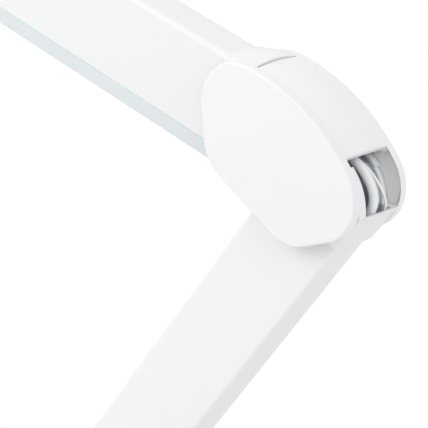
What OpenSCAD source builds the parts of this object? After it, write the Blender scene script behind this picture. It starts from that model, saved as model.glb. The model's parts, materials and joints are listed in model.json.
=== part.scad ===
// Folding desk lamp: round weighted base, flat lower arm, double-pivot elbow and LED head.
// The origin is the centre of the base's underside, +Z is up and the front faces -Y.
// Both arms lie in the XZ plane. Lengths are millimetres, angles are degrees.

/* [Base] */
// Outer diameter of the round base
base_d = 200; // [180:1:240]
// Height of the base above the table
base_h = 22; // [21:0.5:28]
// Wall of the base shell
base_wall = 2.5; // [2:0.1:3]
// Rounding of the base's top edge
base_edge_r = 4; // [2:0.5:6]
// Thickness of the foot pad
pad_t = 2; // [1.8:0.1:3]
// Thickness of the closing plate
plate_t = 1.5; // [1:0.1:2]
// Room between the ballast disc and the base's top
ballast_room = 8.5; // [8:0.1:12]
// Gap between the ballast and the shell's wall
ballast_gap = 3; // [1:0.5:8]
// Distance from the base's edge to the base screws
screw_inset = 28; // [20:1:40]
// Number of base screws
screw_n = 4; // [3:1:8]

/* [Power] */
// Diameter of the power button
button_d = 18; // [12:0.5:24]
// Distance from the base's edge to the button's centre
button_inset = 30; // [26:1:45]
// Height of the button above the base
button_proud = 1.6; // [1.4:0.1:3]
// Travel of the button
button_travel = 1.2; // [0.5:0.1:1.3]
// Width of the power inlet
inlet_w = 9; // [8:0.5:12]
// Bore of the power inlet
inlet_bore_d = 5.5; // [4:0.1:6]

/* [Turret] */
// Height of the lower pivot above the table
pivot_h = 62; // [60:1:90]
// Diameter of the turret's foot
turret_d = 56; // [50:1:80]
// Thickness of the turret's foot
turret_t = 10; // [8:0.5:12]
// Outer diameter of the swivel post
post_d = 16; // [12:0.5:18]
// Bore of the hollow swivel post
post_bore_d = 8; // [6:0.5:9]
// Diameter of the pivot bolts
bolt_d = 6; // [4:0.5:8]
// Diameter of the caps over the lower pivot
cap_d = 24; // [22:0.5:32]

/* [Arms] */
// Width of the lower arm, seen from the front
arm_w = 41.6; // [38:0.1:42]
// Depth of the lower arm, front to back
arm_depth = 18.2; // [17:0.1:20]
// Wall of the arm extrusions
arm_wall = 2.2; // [1.5:0.1:2.6]
// Rounding of the lower arm's long edges
arm_edge_r = 2.1; // [1:0.1:4]
// Distance between the lower pivot and the elbow's first pivot
lower_len = 410; // [380:5:480]
// Distance from the elbow's second pivot to the head's end
head_len = 380; // [300:5:385]
// Lean of the lower arm above the horizontal
arm_lean = 52; // [40:1:60]
// Distance of the cable from the arms' centre lines
cable_off = 12.5; // [11.5:0.5:13]

/* [Elbow] */
// Distance between the elbow's two pivots
pivot_gap = 46.4; // [46:0.2:50]
// Depth of the elbow, front to back
elbow_depth = 34.7; // [33:0.1:38]
// Thickness of the two covers
cover_t = 4.5; // [4:0.1:5]
// Angle between the lower arm and the elbow's centre line
fold_lower = 84.8; // [82:0.2:88]
// Angle between the head and the elbow's centre line
open_upper = 16; // [12:0.5:20]
// Radius of the covers' round ends
end_r = 19.7; // [19.6:0.1:20.4]
// Radius of the covers' inner corners
corner_r = 19.5; // [17:0.1:19.6]
// Height of the covers' outer arc above the centre line
crown_h = 32.2; // [32:0.1:33]
// Drop of the covers' straight inner edge below the centre line
inner_drop = 23.4; // [22:0.1:25]
// Wall of the outer strap
strap_t = 2; // [1.5:0.1:2.4]
// Inset of the strap and knuckles from the covers' outline
strap_inset = 0.6; // [0.4:0.1:1]
// Angle of the window's upper edge about the lower pivot
window_angle = 83; // [80:1:90]
// Angle of the slit about the upper pivot
slit_angle = 103; // [98:1:108]
// Width of the slit at the head's knuckle
slit_w = 0.5; // [0.4:0.1:1]
// Travel of the lower elbow joint
lower_travel = 54; // [40:1:54]

/* [Knuckles] */
// Radius of the knuckles' cheeks around the pivots
hub_r = 20.8; // [19:0.1:22]
// Running gap between the cheeks and the strap
rim_gap = 1.5; // [0.5:0.1:2]
// Radius of the lower knuckle's lip, which closes the elbow's outer side
lip_r = 26.4; // [26:0.1:26.5]
// Radius of the head knuckle's lip, level with the strap
head_lip_r = 27.8; // [27:0.1:28]
// Thickness of a knuckle's cheek
cheek_t = 3.5; // [3:0.1:4]
// Wall of the lips at their root
lip_t = 2.2; // [1.8:0.1:3]
// Wall of the lower lip at its free edge
lip_edge_t = 1.2; // [1:0.1:1.3]
// Length of the plugs inside the arms
plug_len = 38; // [25:1:50]
// Outer diameter of the sleeves round the bolts
sleeve_d = 14; // [11:0.5:15]

/* [Head] */
// Width of the head's housing, seen from the front
head_w = 41; // [39:0.1:42]
// Depth of the head, front to back
head_depth = 20.4; // [19:0.1:21]
// Rounding of the housing's long edges
head_edge_r = 2.5; // [1:0.1:4]
// Height of the diffuser strip below the housing
diffuser_h = 7.1; // [5:0.1:8]
// Wall of the diffuser
diffuser_wall = 1.8; // [1.2:0.1:2.5]
// Rounding of the diffuser's outer edges
diffuser_edge_r = 1; // [0.5:0.1:2]
// Depth of the diffuser's tongues inside the housing
tongue_h = 4; // [3:0.5:6]
// Width of the LED board
board_w = 14; // [13:0.1:14.5]
// Thickness of the circuit boards
board_t = 1.6; // [1:0.1:2]
// Spacing of the LEDs
led_pitch = 11; // [8:0.5:20]
// Side of an LED
led_w = 3; // [2:0.1:4]
// Thickness of the end cap
end_cap_t = 3; // [2:0.1:5]

/* [Cable] */
// Diameter of the cable
cable_d = 4; // [3:0.1:4]
// Distance of the cable's run in front of the arms' middle plane
cable_front = 2; // [1:0.5:3]
// Diameter of the thin wire
wire_d = 1.2; // [0.8:0.1:1.4]
// Distance of the wire's run in front of the arms' middle plane
wire_front = -2; // [-3:0.5:-1.5]

/* [Fits] */
// Radial clearance of a running fit
fit = 0.05; // [0.03:0.01:0.1]
// Clearance between faces that slide past each other
face_gap = 0.06; // [0.05:0.01:0.1]
// Clearance around what is pushed into an arm
slip = 0.1; // [0.05:0.01:0.2]

/* [Hidden] */
$fn = 72;
far = 200;
lap = 0.5;

// Places of the pivots in the XZ plane and the directions of the elbow and the arms
elbow_dir = arm_lean + 180 - fold_lower;
head_dir = elbow_dir + open_upper;
arm_dir = arm_lean + 180;
pivot_base = [0, pivot_h];
pivot_low = pivot_base + lower_len * heading(arm_lean);
pivot_up = pivot_low + pivot_gap * heading(elbow_dir);
elbow_mid = (pivot_low + pivot_up) / 2;
elbow_a = elbow_dir - 180;

// Half depths, front to back
half_elbow = elbow_depth / 2;
cover_in = half_elbow - cover_t;
washer_t = 0.4;
cheek_out = cover_in - washer_t - face_gap;
cheek_in = cheek_out - cheek_t;
half_arm = arm_depth / 2;
half_w = arm_w / 2;
half_head = head_depth / 2;

// The head is its housing and the diffuser, centred on its pivot
head_half = (head_w + diffuser_h) / 2;
housing_low = head_half - diffuser_h;

// Covers' outline in the elbow's frame: u runs from the upper pivot to the lower one
end_out = 2.9;
end_up = 7.6;
corner_back = 5.8;
end_c = [pivot_gap / 2 + end_out, end_up];
corner_c = [pivot_gap / 2 - corner_back, corner_r - inner_drop];
crown_drop = end_c[1] - crown_h;
crown_r = (end_r * end_r - end_c[0] * end_c[0] - crown_drop * crown_drop) / (2 * (end_r + crown_drop));
crown_c = [0, crown_h - crown_r];
low_c = [pivot_gap / 2, 0];
up_c = [-pivot_gap / 2, 0];
strap_in_r = crown_r - strap_inset - strap_t;
rim_low_r = reach(low_c, window_angle, strap_in_r) - rim_gap;
rim_up_r = reach(up_c, slit_angle, strap_in_r) - rim_gap;

// Angles of the knuckles' edges in each arm's own frame
lip_start = window_angle - lower_travel - 1 + elbow_a + 360 - arm_dir;
cheek_span = 45;
step_x = 7;
slit_head = slit_angle + elbow_a - head_dir;
lip_root = [step_x, half_w - lip_t];
friction_r = min(hub_r - 1.5, slip_line(lip_root, (lip_r - lip_edge_t) * heading(lip_start)));
friction_t = 3.6;
lip_end = slit_head + slit_w / head_lip_r * 180 / PI;

// Heights in the base
plate_z = pad_t;
ballast_z = plate_z + plate_t;
ballast_top = base_h - ballast_room;
board_gap = 0.3;
board_z = ballast_top + board_gap;
ceiling_z = base_h - base_wall;
shell_r = base_d / 2;
shell_in_r = shell_r - base_wall;
ballast_r = shell_in_r - ballast_gap;
screw_circle_r = shell_r - screw_inset;
hub_hole_r = 24;
pad_gap = 1;
base_screw_r = 1.5;
screw_head_r = 3;
screw_head_t = 1.2;
screw_head_gap = 0.4;
boss_r = 4.5;
inlet_notch = 24;

// Swivel
bearing_t = 1;
flange_r = post_d / 2 + 6;
flange_t = 2;
turret_z = base_h + 0.5;
floor_z = turret_z + turret_t;
post_washer_t = 1.5;
post_nut_t = 3.5;
under_nut_t = 3.2;
post_top = floor_z + face_gap + post_washer_t + post_nut_t;
knuckle_r = half_w - 0.5;
sleeve_half = 5;

// Button
button_reach = shell_r - button_inset;
board_front = 12;
board_back = 36;
board_half = 15;
flange_button_t = 1.5;
button_flange_z = ceiling_z - face_gap - flange_button_t;
button_r = button_d / 2;
button_gap = 0.3;
button_rim = 1.8;
dome_r = 5;
dome_hollow = [3, 0.8];

// Bolts, nuts and washers
bolt_r = bolt_d / 2;
sleeve_r = sleeve_d / 2;
bolt_head_r = bolt_d;
bolt_head_t = 2.4;
insert_t = 2.8;
insert_r = bolt_r + 2;
washer_r = sleeve_r + 1;
screw_r = 1.5;
screw_grip = 4;
small_head_t = 1;
standoff_r = 3;
standoff_c = [0, crown_h - strap_inset - strap_t - standoff_r + 0.4];

// Arms' tubes start and end here, measured along each arm from its elbow pivot
tube_end = lower_len - half_w - 6;
plug_w = half_w - arm_wall - slip;
plug_h = half_arm - arm_wall - slip;
head_plug_h = half_head - arm_wall - slip;
screw_off = 7;
channel_r = cable_d / 2 + 1.2;
head_cut_top = 16.8;
head_cut_low = 8.5;
strip_start = -1;
housing_lip_r = 0.6;
strip_lip_r = 0.3;
led_t = 0.8;
head_hub_r = housing_low - 0.4;
wall_back = 3;
head_plug_end = head_cut_top + plug_len;
board_x = head_plug_end + 6;
knuckle_screw_x = step_x + plug_len - 12;
base_screw_x = tube_end - plug_len + 12;
board_y = housing_low - tongue_h - board_t;
lamp_end = head_len - end_cap_t;
join_x = 34;
joint_gap = 0.25;
head_screw_x = head_cut_top + plug_len - 12;
end_lip = 8;

// Routes of the cables: in the base, at the turret and, as u and v, through the elbow
inlet_depth = 12;
inlet_half_h = 5;
inlet_z = (base_h + 1) / 2;
inlet_barrel_r = inlet_bore_d / 2 + 1.2;
inlet_seat = sqrt(shell_in_r * shell_in_r - inlet_w * inlet_w / 4) - slip;
inlet_back = inlet_seat - inlet_depth;
cable_run = base_h - 5.5;
board_end = board_back + 0.6 - button_reach;
inlet_route = [[0, inlet_back - 0.2, inlet_z], [0, inlet_back - 3, inlet_z],
    [0, inlet_back - 6, inlet_z + 1],
    [3, inlet_back - 13.3, cable_run - 0.5], [12, 0.52 * shell_r, cable_run], [16, 20, cable_run],
    [16, -14, cable_run], [10, board_end, cable_run - 0.5]];
base_route = [[-6, board_end, cable_run - 0.5], [-5, -24, cable_run - 0.3], [-3, -14, base_h - 10],
    [-0.8, -5, base_h - 13], [0, 0, base_h - 9], [0, 0, base_h + 3]];
turret_bend = [[7, -12], [13, -3]];
elbow_route = [[33.8, -21], [35.2, -6.4], [37.9, -1], [41, 4.5], [42.4, 12], [39.4, 17.3], [34, 20.5],
    [26, 22.3], [14, 22], [0, 20.2], [-14, 20.5], [-26, 19], [-31.5, 15], [-36.6, 9.9], [-45.9, 6.5]];
wire_route = [[24, 22], [32, 21.5], [37, 20], [41, 17.3], [43, 14], [43, 9], [41, 2], [39.4, -5.3]];

function heading(a) = [cos(a), sin(a)];
function arc(c, r, a0, a1, n) = [for (i = [0:n]) c + r * heading(a0 + (a1 - a0) * i / n)];
function angle_of(v) = atan2(v[1], v[0]);
// Distance from the origin to a line through two points, less the slip clearance
function slip_line(p, q) = abs(cross(p, q)) / norm(q - p) - slip;
function turned(p, a) = [p[0] * cos(a) - p[1] * sin(a), p[0] * sin(a) + p[1] * cos(a)];
// Distance from a point to a circle about the crown's centre, along an angle
function reach(c, a, r) = let (d = c - crown_c, b = d * heading(a)) sqrt(b * b - d * d + r * r) - b;
function flip(points) = [for (i = [len(points) - 1:-1:0]) [-points[i][0], points[i][1]]];

// Points of the arms' and the elbow's frames as places in the XZ plane
function arm_point(x, y) = pivot_low + turned([x, y], arm_dir);
function head_point(x, y) = pivot_up + turned([x, y], head_dir);
function elbow_point(u, v) = elbow_mid + turned([u, v], elbow_a);

// Lay a drawing of the XZ plane upright at a place, turned by an angle
module upright(p, a = 0) { translate([p[0], 0, p[1]]) rotate([90, 0, 0]) rotate([0, 0, a]) children(); }
module in_arm() { upright(pivot_low, arm_dir) children(); }
module in_head() { upright(pivot_up, head_dir) children(); }
module in_elbow() { upright(elbow_mid, elbow_a) children(); }

// A slab of an outline between two depths, measured towards the front
module slab(z0, z1) { translate([0, 0, z0]) linear_extrude(z1 - z0) children(); }
module disc(r, z0, z1) { slab(z0, z1) circle(r); }
module tube(r_out, r_in, z0, z1) { slab(z0, z1) difference() { circle(r_out); circle(r_in); } }
module box(x0, x1, y0, y1) { translate([x0, y0]) square([x1 - x0, y1 - y0]); }
module hexagon(r) { circle(r, $fn = 6); }
module sector(r, a0, a1) {
    mid = (a0 + a1) / 2;
    polygon([[0, 0], r * heading(a0), 1.3 * r * heading(mid), r * heading(a1)]);
}
// Rectangle with its own rounding at each side of y: r0 at the low edge, r1 at the high edge
module bar_section(half_d, y0, y1, r0, r1) {
    union() {
        box(-half_d, half_d, y0 + r0, y1 - r1);
        box(-half_d + r0, half_d - r0, y0, y0 + r0 + 0.01);
        box(-half_d + r1, half_d - r1, y1 - r1 - 0.01, y1);
        for (s = [-1, 1]) {
            translate([s * (half_d - r0), y0 + r0]) circle(r0);
            translate([s * (half_d - r1), y1 - r1]) circle(r1);
        }
    }
}
// Extrude a cross-section (depth, width) along an arm's own x axis
module along(x0, x1) { translate([x0, 0, 0]) rotate([0, 90, 0]) linear_extrude(x1 - x0) children(); }

// Tube swept along points in space; side is a direction that the route never follows
function ring(p, t, side, r, n) = let (a = cross(t, side), b = a / norm(a), c = cross(b, t))
    [for (i = [0:n - 1]) p + r * (b * cos(360 * i / n) + c * sin(360 * i / n))];
function course(route, i) = let (last = len(route) - 1,
    d = route[min(i + 1, last)] - route[max(i - 1, 0)]) d / norm(d);
function between(a, b, c, d, t) = 0.5 * (2 * b + (c - a) * t + (2 * a - 5 * b + 4 * c - d) * t * t
    + (3 * b - a - 3 * c + d) * t * t * t);
function smooth(route, k) = [for (i = [0:len(route) - 2]) for (j = [0:k - 1])
    between(route[max(i - 1, 0)], route[i], route[i + 1], route[min(i + 2, len(route) - 1)], j / k),
    route[len(route) - 1]];
module swept(route, d, n, side, k = 2) {
    path = smooth(route, k);
    last = len(path) - 1;
    points = [for (i = [0:last]) each ring(path[i], course(path, i), side, d / 2, n)];
    sides = [for (i = [0:last - 1]) for (j = [0:n - 1]) let (a = i * n + j, b = i * n + (j + 1) % n)
        each [[a, b + n, b], [a, a + n, b + n]]];
    start = [for (j = [1:n - 2]) [0, j, j + 1]];
    end = [for (j = [1:n - 2]) [last * n, last * n + j + 1, last * n + j]];
    polyhedron(points, concat(sides, start, end));
}
module both() { children(); mirror([0, 0, 1]) children(); }
// A point of the XZ plane at the cable's depth
function laid(p, front = cable_front) = [p[0], -front, p[1]];

// ---- Base ----
module foot_pad() {
    color("dimgray") difference() {
        cylinder(r = shell_in_r - pad_gap, h = pad_t);
        screw_places() translate([0, 0, pad_t - screw_head_t - face_gap])
            cylinder(r = screw_head_r + screw_head_gap, h = far);
    }
}
module screw_places() {
    for (i = [0:screw_n - 1]) rotate([0, 0, 360 * (i + 0.5) / screw_n])
        translate([screw_circle_r, 0, 0]) children();
}
module base_plate() {
    color("gainsboro") translate([0, 0, plate_z]) difference() {
        cylinder(r = shell_in_r - slip, h = plate_t);
        screw_places() translate([0, 0, -lap]) cylinder(r = base_screw_r + slip, h = far);
    }
}
module ballast_disc() {
    color("slategray") translate([0, 0, ballast_z]) difference() {
        cylinder(r = ballast_r, h = ballast_top - ballast_z);
        translate([0, 0, -lap]) cylinder(r = hub_hole_r, h = far);
        screw_places() translate([0, 0, -lap]) cylinder(r = base_screw_r + slip, h = far);
        translate([-inlet_w / 2 - 1, ballast_r - inlet_notch, -lap]) cube([inlet_w + 2, far, far]);
    }
}
module base_shell() {
    color("white") {
        difference() {
            rotate_extrude() union() {
                square([shell_r - base_edge_r, base_h]);
                square([shell_r, base_h - base_edge_r]);
                translate([shell_r - base_edge_r, base_h - base_edge_r]) circle(base_edge_r);
            }
            translate([0, 0, -lap]) cylinder(r = shell_in_r, h = ceiling_z - base_edge_r / 2 + lap);
            cylinder(r = shell_in_r - base_edge_r / 2, h = ceiling_z);
            cylinder(r = far, h = pad_t / 2);
            cylinder(r = post_d / 2 + fit, h = far);
            translate([0, -button_reach, 0]) cylinder(r = button_r + button_gap, h = far);
            translate([0, 0, inlet_z]) rotate([-90, 0, 0]) cylinder(r = inlet_barrel_r + slip, h = far);
        }
        difference() {
            screw_places() translate([0, 0, ballast_top])
                cylinder(r = boss_r, h = ceiling_z - ballast_top + lap);
            screw_places() cylinder(r = base_screw_r + fit, h = ceiling_z + lap / 2);
        }
    }
}
module base_screws() {
    color("silver") screw_places() {
        translate([0, 0, pad_t - screw_head_t]) cylinder(r = screw_head_r, h = screw_head_t);
        translate([0, 0, pad_t - lap]) cylinder(r = base_screw_r, h = ceiling_z - pad_t);
    }
}
module swivel_post() {
    color("silver") difference() {
        union() {
            translate([0, 0, ceiling_z - under_nut_t - 1])
                cylinder(r = post_d / 2, h = post_top - ceiling_z + under_nut_t + 1.5);
            translate([0, 0, base_h]) cylinder(r = flange_r, h = flange_t);
        }
        cylinder(r = post_bore_d / 2, h = far);
    }
}
module swivel_bearing() {
    color("ivory") translate([0, 0, base_h]) difference() {
        cylinder(r = turret_d / 2 - 2, h = bearing_t);
        translate([0, 0, -lap]) cylinder(r = flange_r + 1, h = far);
    }
}
module swivel_nuts() {
    color("silver") {
        translate([0, 0, ceiling_z - under_nut_t]) ring_nut(post_d / 2 + 3, post_d / 2, under_nut_t);
        translate([0, 0, post_top - post_nut_t]) ring_nut(post_d / 2 + 3, post_d / 2, post_nut_t);
    }
}
module ring_nut(r, bore_r, h) {
    difference() {
        cylinder(r = r, h = h, $fn = 6);
        translate([0, 0, -lap]) cylinder(r = bore_r + fit, h = h + 2 * lap);
    }
}
module swivel_washer() {
    color("ivory") translate([0, 0, floor_z + face_gap]) difference() {
        cylinder(r = post_d / 2 + 4, h = post_washer_t);
        translate([0, 0, -lap]) cylinder(r = post_d / 2 + fit, h = far);
    }
}
module power_inlet() {
    color("dimgray") translate([0, 0, inlet_z]) difference() {
        union() {
            translate([-inlet_w / 2, inlet_back, -inlet_half_h])
                cube([inlet_w, inlet_depth, 2 * inlet_half_h]);
            rotate([-90, 0, 0]) translate([0, 0, inlet_seat - 1])
                cylinder(r = inlet_barrel_r, h = shell_r - inlet_seat + 0.8);
        }
        rotate([-90, 0, 0]) translate([0, 0, inlet_back + 3]) cylinder(r = inlet_bore_d / 2, h = far);
    }
}
module inlet_cable() {
    color("dimgray") swept(inlet_route, cable_d, 8, [0, 0, 1]);
}
module base_cable() {
    color("whitesmoke") swept(concat(base_route, [[0, 0, post_top + 1.5]]), cable_d, 8, [1, 0, 0]);
}
module control_board() {
    color("seagreen") translate([-board_half, -button_reach - board_front, ballast_top])
        cube([2 * board_half, board_front + board_back, board_t + board_gap]);
}
module button_dome() {
    color("gainsboro") translate([0, -button_reach, board_z + board_t]) difference() {
        cylinder(r = dome_r, h = button_flange_z - board_z - board_t - face_gap);
        translate([0, 0, -lap]) cylinder(r = dome_hollow[0], h = lap + dome_hollow[1]);
    }
}
module power_button() {
    color("whitesmoke") translate([0, -button_reach, 0]) {
        translate([0, 0, button_flange_z]) cylinder(r = button_r + button_rim, h = flange_button_t);
        translate([0, 0, button_flange_z + lap])
            cylinder(r = button_r, h = base_h + button_proud - button_flange_z - lap);
    }
}

// ---- Turret ----
module recess(r, top) { translate([0, 0, turret_z - lap]) cylinder(r = r, h = top - turret_z + lap); }
module turret() {
    color("white") difference() {
        union() {
            translate([0, 0, turret_z]) cylinder(r = turret_d / 2, h = turret_t);
            upright(pivot_base) both() slab(cover_in, half_elbow) {
                circle(half_w);
                box(-half_w, half_w, floor_z - pivot_h - lap, 0);
            }
        }
        cylinder(r = post_d / 2 + fit, h = far);
        recess(flange_r + 0.3, base_h + flange_t + 0.2);
        recess(turret_d / 2 - 1.7, base_h + bearing_t + face_gap);
        upright(pivot_base) disc(bolt_r + fit, -far, far);
    }
}
module turret_bolt() {
    color("silver") upright(pivot_base) {
        disc(bolt_r, -half_elbow - lap, half_elbow + bolt_head_t + 1);
        slab(-half_elbow - bolt_head_t, -half_elbow) hexagon(bolt_head_r);
    }
}
module turret_nut() {
    color("silver") upright(pivot_base) slab(half_elbow, half_elbow + bolt_head_t) difference() {
        hexagon(bolt_head_r);
        circle(bolt_r);
    }
}
module turret_washers() {
    color("ivory") upright(pivot_base) both()
        tube(washer_r, bolt_r + fit, cheek_out + face_gap, cover_in);
}
module turret_caps() {
    color("white") upright(pivot_base) both() difference() {
        disc(cap_d / 2, half_elbow, half_elbow + bolt_head_t + 2.6);
        disc(cap_d / 2 - 1.6, half_elbow - lap, half_elbow + bolt_head_t + 1.2);
    }
}

// ---- Lower arm ----
module arm_hollow(x0, x1, y0, y1) {
    along(x0, x1) bar_section(half_arm - arm_wall, y0, y1, arm_edge_r / 2, arm_edge_r / 2);
}
module lower_arm_tube() {
    color("white") in_arm() difference() {
        along(step_x, tube_end) bar_section(half_arm, -half_w, half_w, arm_edge_r, arm_edge_r);
        arm_hollow(step_x - lap, tube_end + lap, -half_w + arm_wall, half_w - arm_wall);
        for (x = [knuckle_screw_x, base_screw_x]) screw_spots(x) screw_hole();
    }
}
// Solid end of a knuckle that is pushed into an arm, and the cable's channel through it
module plug(x0, x1, y0, y1, half_d = plug_h, r = arm_edge_r / 2) {
    along(x0, x1) bar_section(half_d, y0, y1, r, r);
}
module channel(x0, y) {
    translate([x0 - lap, y, cable_front]) rotate([0, 90, 0]) cylinder(r = channel_r, h = plug_len + 30);
}
// Screws that hold a plug in its tube, driven from the arm's back
module screw_spots(x, back = half_arm) {
    for (s = [-1, 1]) translate([x, s * screw_off, -back]) children();
}
module screw_hole() {
    translate([0, 0, -lap]) cylinder(r = screw_r + fit, h = arm_wall + slip + screw_grip + 0.2 + lap);
    translate([0, 0, -lap]) cylinder(r = screw_r + 1 + fit, h = small_head_t + lap);
}
module arm_screw() {
    translate([0, 0, small_head_t / 2])
        cylinder(r = screw_r, h = arm_wall + slip + screw_grip - small_head_t / 2);
    cylinder(r = screw_r + 1, h = small_head_t);
}
module base_knuckle() {
    color("white") in_arm() difference() {
        union() {
            both() slab(sleeve_half, cheek_out) {
                translate([lower_len, 0]) circle(knuckle_r);
                box(tube_end, lower_len, -knuckle_r, knuckle_r);
            }
            slab(-sleeve_half - lap, sleeve_half + lap)
                box(tube_end, lower_len - sleeve_r - 5, -knuckle_r, knuckle_r);
            plug(tube_end - plug_len, tube_end + lap, -plug_w, plug_w);
        }
        translate([lower_len, 0, 0]) disc(bolt_r + fit, -far, far);
        channel(tube_end - plug_len, cable_off);
        screw_spots(base_screw_x) screw_hole();
    }
}
module base_sleeve() {
    color("silver") upright(pivot_base) tube(sleeve_r, bolt_r + fit, -sleeve_half, sleeve_half);
}
// Cheek and lip of the lower arm's elbow knuckle, in the arm's frame
module lower_cheek() {
    intersection() {
        union() {
            circle(hub_r);
            intersection() {
                circle(rim_low_r);
                sector(2 * rim_low_r, lip_start - 1, lip_start + cheek_span);
            }
            polygon([[0, 0], [step_x, 0], [step_x, half_w], lip_r * heading(lip_start)]);
            box(0, step_x, -half_w, half_w);
        }
        box(-far, step_x, -far, far);
    }
}
module lower_lip() {
    edge = heading(lip_start);
    polygon([[step_x, half_w], lip_r * edge, (lip_r - lip_edge_t) * edge, lip_root]);
}
module elbow_knuckle() {
    color("white") in_arm() difference() {
        union() {
            both() slab(cheek_in, cheek_out) lower_cheek();
            slab(-cheek_in - lap, cheek_in + lap) {
                lower_lip();
                box(step_x - wall_back, step_x, -half_w, half_w - lip_t + 0.2);
            }
            plug(step_x - lap, step_x + plug_len, -plug_w, plug_w);
        }
        disc(bolt_r + fit, -far, far);
        disc(sleeve_r + 2, -cheek_in, cheek_in);
        channel(step_x - wall_back, cable_off);
        screw_spots(knuckle_screw_x) screw_hole();
    }
}
module lower_sleeve() { color("silver") in_arm() tube(sleeve_r, bolt_r + fit, -cheek_in, cheek_in); }
module friction_disc() {
    color("lightsteelblue") in_arm() slab(-cheek_in, -cheek_in + friction_t) difference() {
        intersection() { circle(friction_r); box(-far, step_x - wall_back - slip, -far, far); }
        circle(sleeve_r + fit);
    }
}
module arm_screws() {
    color("silver") in_arm() for (x = [knuckle_screw_x, base_screw_x]) screw_spots(x) arm_screw();
}
module turret_cable() {
    color("whitesmoke") swept([[0, 0, post_top + 1.5 + joint_gap], [0, 0, post_top + 3.5],
        [0, 0, post_top + 5.5], laid(pivot_base + turret_bend[0], 1), laid(pivot_base + turret_bend[1]),
        laid(arm_point(lower_len - 12, cable_off)),
        laid(arm_point(tube_end, cable_off)), laid(arm_point(tube_end - plug_len - 4, cable_off))],
        cable_d, 8, [0, 1, 0]);
}
module arm_cable() {
    color("whitesmoke") in_arm() translate([join_x + joint_gap, cable_off, cable_front]) rotate([0, 90, 0])
        cylinder(d = cable_d, h = tube_end - plug_len - 4 - join_x - 2 * joint_gap);
}

// ---- Elbow ----
module cover_outline(inset = 0) {
    re = end_r - inset;
    rc = corner_r - inset;
    step = corner_c - end_c;
    side = angle_of(step) + acos((re - rc) / norm(step));
    rise = angle_of(end_c - crown_c);
    right = concat(arc(corner_c, rc, -90, side, 8), arc(end_c, re, side, rise, 16));
    polygon(concat(right, arc(crown_c, crown_r - inset, rise, 180 - rise, 32), flip(right)));
}
module at_pivots() {
    for (c = [low_c, up_c]) translate([c[0], c[1], 0]) children();
}
module elbow_front_cover() {
    color("white") in_elbow() difference() {
        slab(cover_in, half_elbow) cover_outline();
        at_pivots() disc(insert_r + fit, cover_in - lap, cover_in + insert_t);
        translate([standoff_c[0], standoff_c[1], 0]) disc(screw_r + fit, cover_in - lap, half_elbow - 1.2);
    }
}
module elbow_back_cover() {
    color("white") in_elbow() difference() {
        slab(-half_elbow, -cover_in) cover_outline();
        at_pivots() disc(bolt_r + fit, -far, 0);
        at_pivots() disc(bolt_head_r + slip, -far, -half_elbow + bolt_head_t + face_gap);
        translate([standoff_c[0], standoff_c[1], 0]) {
            disc(screw_r + fit, -far, 0);
            disc(screw_r + 1.5 + slip, -far, -half_elbow + 2);
        }
    }
}
module elbow_strap() {
    color("white") in_elbow() difference() {
        union() {
            slab(-cover_in, cover_in) intersection() {
                difference() { cover_outline(strap_inset); cover_outline(strap_inset + strap_t); }
                polygon([up_c, up_c + far * heading(slit_angle),
                    low_c + far * heading(window_angle), low_c]);
            }
            translate([standoff_c[0], standoff_c[1], 0]) disc(standoff_r, -cover_in, cover_in);
        }
        translate([standoff_c[0], standoff_c[1], 0]) disc(screw_r + fit, -far, far);
    }
}
module elbow_bolts() {
    color("silver") in_elbow() at_pivots() {
        disc(bolt_r, -half_elbow + 1, cover_in + insert_t - 0.2);
        disc(bolt_head_r, -half_elbow, -half_elbow + bolt_head_t);
    }
}
module elbow_inserts() {
    color("goldenrod") in_elbow() at_pivots() tube(insert_r, bolt_r + fit, cover_in, cover_in + insert_t);
}
module elbow_washers() {
    color("ivory") in_elbow() at_pivots() both()
        tube(washer_r, bolt_r + fit, cheek_out + face_gap, cover_in);
}
module strap_screw() {
    color("silver") in_elbow() translate([standoff_c[0], standoff_c[1], 0]) {
        disc(screw_r, -half_elbow + 1, half_elbow - 1.4);
        disc(screw_r + 1.5, -half_elbow + 0.4, -half_elbow + 2);
    }
}

module elbow_cable() {
    color("white") swept(concat([laid(arm_point(join_x, cable_off))],
        [for (p = elbow_route) laid(elbow_point(p[0], p[1]))], [laid(head_point(join_x, -cable_off))]),
        cable_d, 10, [0, 1, 0]);
}
module elbow_wire() {
    points = [for (p = wire_route) laid(elbow_point(p[0], p[1]), wire_front)];
    color("white") swept(points, wire_d, 8, [0, 1, 0]);
}

// ---- Head, with x along the head and y towards its light ----
module head_start(dx = 0) {
    polygon([[head_cut_top + dx, -head_half - 5], [head_cut_top + dx, -head_half],
        [head_cut_low + dx, housing_low + lap], [2 * head_len, housing_low + lap],
        [2 * head_len, -head_half - 5]]);
}
module head_plug(x0, x1) {
    plug(x0, x1, -head_half + arm_wall + slip, board_y, head_plug_h, head_edge_r / 2);
}
module head_housing() {
    color("white") in_head() difference() {
        intersection() {
            along(0, lamp_end) bar_section(half_head, -head_half, housing_low, head_edge_r, housing_lip_r);
            slab(-far, far) head_start();
        }
        along(-lap, head_len) bar_section(half_head - arm_wall, -head_half + arm_wall, housing_low + 2,
            head_edge_r / 2, housing_lip_r);
        screw_spots(head_screw_x, half_head) screw_hole();
    }
}
module head_lip_sector() {
    intersection() {
        circle(head_lip_r);
        sector(2 * head_lip_r, lip_end, lip_end + 2 * cheek_span);
        box(-far, far, -head_half, far);
    }
}
module head_cheek() {
    difference() {
        union() {
            circle(head_hub_r);
            intersection() { circle(rim_up_r); sector(2 * rim_up_r, lip_end - cheek_span, lip_end + 1); }
            head_lip_sector();
            box(0, head_cut_top, -head_half, head_hub_r);
        }
        head_start();
    }
}
module head_lip() {
    difference() {
        head_lip_sector();
        circle(head_lip_r - lip_t);
        head_start();
    }
}
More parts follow.
